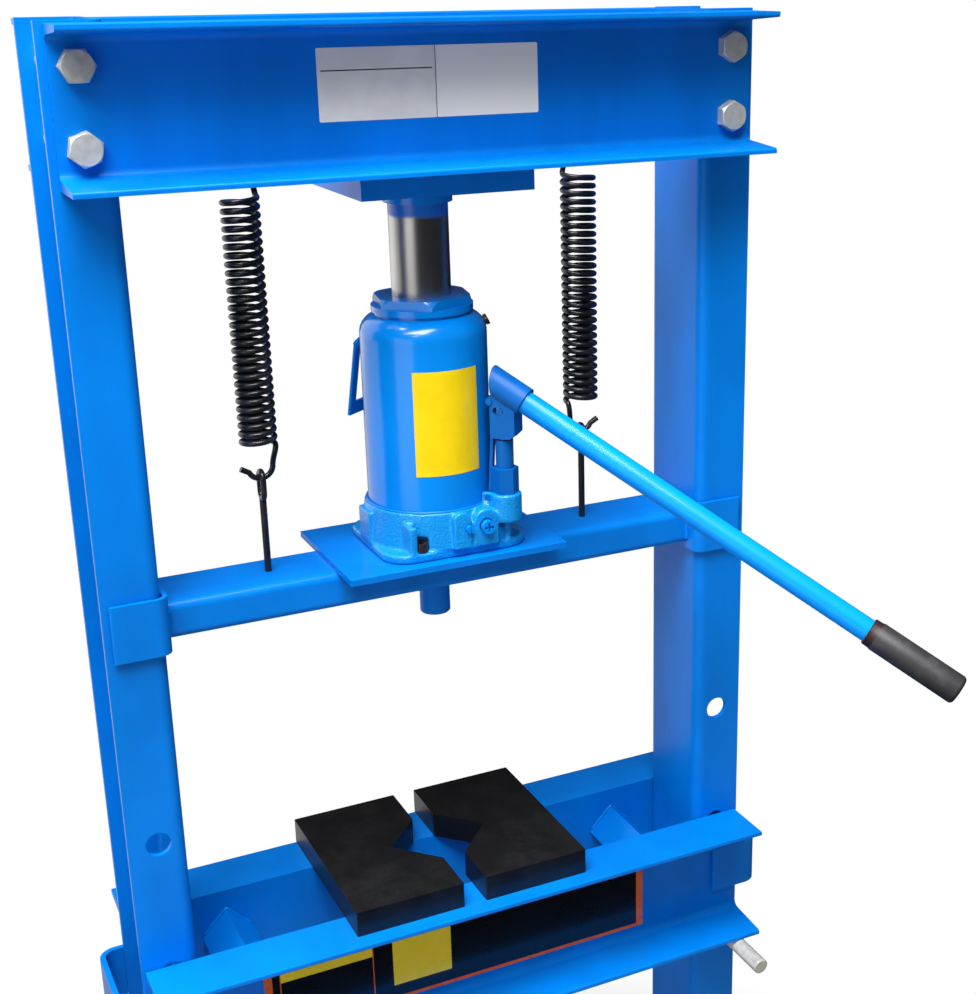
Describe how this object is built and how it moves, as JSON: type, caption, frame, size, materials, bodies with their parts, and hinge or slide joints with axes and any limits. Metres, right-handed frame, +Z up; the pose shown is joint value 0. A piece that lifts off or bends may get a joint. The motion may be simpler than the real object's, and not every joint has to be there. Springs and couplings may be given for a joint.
{
  "type": "hydraulic shop press",
  "caption": "Upright hydraulic shop press: channel frame, bottle jack on a sprung sliding beam, pinned bed with notched arbor plates and a hand pump lever.",
  "frame": {"origin": "on the floor, midway between the feet and centred under the ram's axis", "axes": "+X along the crossbeam to the right, -Y towards the user, +Z up"},
  "size_m": [0.6623, 0.6195, 1.502],
  "materials": {
    "blue_paint": "satin sprayed enamel",
    "black_oxide": "blackened steel",
    "black_paint": "satin black paint",
    "bare_steel": "ground steel",
    "zinc_steel": "bright zinc plating",
    "black_rubber": "dull moulded rubber"
  },
  "bodies": {
    "frame": {"left_post": "blue_paint", "right_post": "blue_paint", "front_crossbeam": "blue_paint", "rear_crossbeam": "blue_paint", "head_plate": "blue_paint", "head_seat_ring": "blue_paint", "left_foot": "blue_paint", "right_foot": "blue_paint", "left_front_brace": "blue_paint", "left_rear_brace": "blue_paint", "right_front_brace": "blue_paint", "right_rear_brace": "blue_paint", "lower_member": "blue_paint", "left_spring_anchor": "blue_paint", "right_spring_anchor": "blue_paint", "left_spring": "black_paint", "right_spring": "black_paint", "crossbeam_bolts": "zinc_steel", "crossbeam_nuts": "zinc_steel", "crossbeam_washers": "zinc_steel", "base_bolts": "zinc_steel", "base_nuts": "zinc_steel"},
    "press_beam": {"press_beam": "blue_paint", "left_guide": "blue_paint", "right_guide": "blue_paint", "jack_plate": "blue_paint", "press_stub": "blue_paint", "left_eye_rod": "black_paint", "right_eye_rod": "black_paint", "eye_rod_nuts": "black_paint", "jack_base": "blue_paint", "jack_base_screws": "black_oxide", "reservoir": "blue_paint", "jack_cylinder": "bare_steel", "gland_nut": "blue_paint", "bail_lugs": "blue_paint", "filler_plug": "black_oxide", "relief_screw": "blue_paint", "pump_barrel": "blue_paint", "pump_link": "blue_paint", "link_pins": "blue_paint"},
    "ram": {"ram": "bare_steel"},
    "pump_plunger": {"pump_plunger": "bare_steel", "plunger_pin": "blue_paint"},
    "pump_handle": {"handle_socket": "blue_paint", "handle_tube": "blue_paint", "handle_grip": "black_rubber"},
    "release_valve": {"release_valve": "blue_paint"},
    "carrying_bail": {"carrying_bail": "blue_paint"},
    "bed": {"front_bed_channel": "blue_paint", "rear_bed_channel": "blue_paint", "left_bed_strap": "blue_paint", "right_bed_strap": "blue_paint", "left_bed_spacer": "blue_paint", "right_bed_spacer": "blue_paint", "left_arbor_plate": "black_paint", "right_arbor_plate": "black_paint"},
    "left_bed_pin": {"left_bed_pin": "zinc_steel"},
    "right_bed_pin": {"right_bed_pin": "zinc_steel"}
  },
  "joints": [
    {"name": "press_beam_slide", "type": "slide", "parent": "frame", "child": "press_beam", "axis": [0, 0, 1], "range_m": [-0.08, 0.058], "stiffness_N_per_m": 3000, "springref_m": 0.0628, "deforming": ["left_spring", "right_spring"]},
    {"name": "ram_slide", "type": "slide", "parent": "press_beam", "child": "ram", "axis": [0, 0, 1], "range_m": [-0.06, 0.082]},
    {"name": "handle_hinge", "type": "hinge", "parent": "press_beam", "child": "pump_handle", "pos_m": [0.0445, -0.04942, 1.176], "axis": [-0.7431, -0.6691, 0], "range_deg": [0, 22]},
    {"name": "plunger_slide", "type": "slide", "parent": "press_beam", "child": "pump_plunger", "axis": [0, 0, 1], "range_m": [0, 0.0035]},
    {"name": "valve_turn", "type": "hinge", "parent": "press_beam", "child": "release_valve", "pos_m": [0.027, -0.07, 1.0665], "axis": [0, -1, 0], "range_deg": [0, 120]},
    {"name": "bail_hinge", "type": "hinge", "parent": "press_beam", "child": "carrying_bail", "pos_m": [-0.03654, 0.04884, 1.2185], "axis": [0.8007, 0.599, 0], "range_deg": [-10, 100]},
    {"name": "bed_lift", "type": "slide", "parent": "frame", "child": "bed", "axis": [0, 0, 1], "range_m": [0, 0.118]},
    {"name": "left_pin_slide", "type": "slide", "parent": "frame", "child": "left_bed_pin", "axis": [0, -1, 0], "range_m": [0, 0.25]},
    {"name": "right_pin_slide", "type": "slide", "parent": "frame", "child": "right_bed_pin", "axis": [0, -1, 0], "range_m": [0, 0.25]}
  ],
  "couplings": [
    {"joint": "ram_slide", "follows": "press_beam_slide", "ratio": -1},
    {"joint": "plunger_slide", "follows": "handle_hinge", "m_per_rad": 0.00765}
  ]
}
